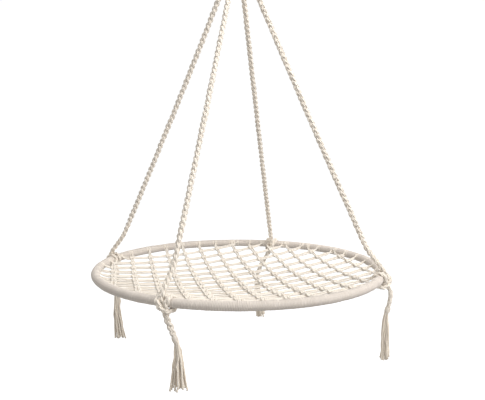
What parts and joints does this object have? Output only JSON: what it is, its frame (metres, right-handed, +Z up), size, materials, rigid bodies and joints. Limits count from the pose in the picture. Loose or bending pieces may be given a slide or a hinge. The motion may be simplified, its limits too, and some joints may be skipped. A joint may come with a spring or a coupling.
{
  "type": "saucer nest swing",
  "caption": "Round hanging nest swing: cord-wrapped hoop with a sagging knotted net, hung by plaited ropes from a steel ring, with fringed rope tails.",
  "frame": {"origin": "hang point: where a hook bears on the inside of the steel ring, at its top", "axes": "+Z up, opposite the pull; +X to the right of a sitter's view from the front, -Y is the front"},
  "size_m": [0.8022, 0.8022, 1.1938],
  "materials": {
    "ring_steel": "bright plated steel, polished by the hook",
    "tube_steel": "bare drawn steel tube, hidden inside the wrap",
    "wrap_cord": "natural cotton cord wound tightly side by side",
    "net_cord": "twisted natural cotton cord, knotted",
    "plaited_rope": "plaited natural cotton cord, matt and slightly hairy",
    "whipping_cord": "tightly wound cotton cord",
    "fringe_strand": "loose cotton strands, frayed at the ends"
  },
  "bodies": {
    "ring": {"hanging_ring": "ring_steel"},
    "rope_loops": {"rope_loop_a": "plaited_rope", "rope_loop_b": "plaited_rope", "rope_loop_c": "plaited_rope", "rope_loop_d": "plaited_rope"},
    "crown": {"crown_core": "plaited_rope", "crown_whipping": "whipping_cord"},
    "seat": {"rope_a": "plaited_rope", "rope_b": "plaited_rope", "rope_c": "plaited_rope", "rope_d": "plaited_rope", "hitch_a": "plaited_rope", "hitch_b": "plaited_rope", "hitch_c": "plaited_rope", "hitch_d": "plaited_rope", "hoop_tube": "tube_steel", "hoop_joint_spigot": "tube_steel", "hoop_wrap_1": "wrap_cord", "hoop_wrap_2": "wrap_cord", "hoop_wrap_3": "wrap_cord", "hoop_wrap_4": "wrap_cord", "net_column_01": "net_cord", "net_column_02": "net_cord", "net_column_03": "net_cord", "net_column_04": "net_cord", "net_column_05": "net_cord", "net_column_06": "net_cord", "net_column_07": "net_cord", "net_column_08": "net_cord", "net_column_09": "net_cord", "net_column_10": "net_cord", "net_column_11": "net_cord", "net_column_12": "net_cord", "net_column_13": "net_cord", "net_row_01": "net_cord", "net_row_02": "net_cord", "net_row_03": "net_cord", "net_row_04": "net_cord", "net_row_05": "net_cord", "net_row_06": "net_cord", "net_row_07": "net_cord", "net_row_08": "net_cord", "net_row_09": "net_cord", "net_row_10": "net_cord", "net_row_11": "net_cord", "net_row_12": "net_cord", "net_row_13": "net_cord", "net_row_14": "net_cord"},
    "tassel_a": {"tail_a": "plaited_rope", "tail_whipping_a": "whipping_cord", "fringe_a": "fringe_strand"},
    "tassel_b": {"tail_b": "plaited_rope", "tail_whipping_b": "whipping_cord", "fringe_b": "fringe_strand"},
    "tassel_c": {"tail_c": "plaited_rope", "tail_whipping_c": "whipping_cord", "fringe_c": "fringe_strand"},
    "tassel_d": {"tail_d": "plaited_rope", "tail_whipping_d": "whipping_cord", "fringe_d": "fringe_strand"}
  },
  "joints": [
    {"name": "swing_side_to_side", "type": "hinge", "parent": "ring", "child": "rope_loops", "pos_m": [0, 0, -0.021], "axis": [0, 1, 0], "range_deg": [-30, 30]},
    {"name": "swing_fore_aft", "type": "hinge", "parent": "rope_loops", "child": "crown", "pos_m": [0, 0, -0.0675], "axis": [1, 0, 0], "range_deg": [-40, 40]},
    {"name": "seat_spin", "type": "hinge", "parent": "crown", "child": "seat", "pos_m": [0, 0, -0.1045], "axis": [0, 0, 1], "range_deg": [-180, 180]},
    {"name": "tassel_a_swing", "type": "hinge", "parent": "seat", "child": "tassel_a", "pos_m": [-0.36241, 0.11916, -0.963], "axis": [-0.3123, -0.95, 0], "range_deg": [-60, 60]},
    {"name": "tassel_b_swing", "type": "hinge", "parent": "seat", "child": "tassel_b", "pos_m": [-0.16437, -0.36359, -0.9635], "axis": [0.907, -0.421, 0], "range_deg": [-60, 60]},
    {"name": "tassel_c_swing", "type": "hinge", "parent": "seat", "child": "tassel_c", "pos_m": [0.10246, 0.36701, -0.9635], "axis": [-0.9588, 0.284, 0], "range_deg": [-60, 60]},
    {"name": "tassel_d_swing", "type": "hinge", "parent": "seat", "child": "tassel_d", "pos_m": [0.38719, -0.13635, -0.9585], "axis": [0.3322, 0.9432, 0], "range_deg": [-60, 60]}
  ]
}
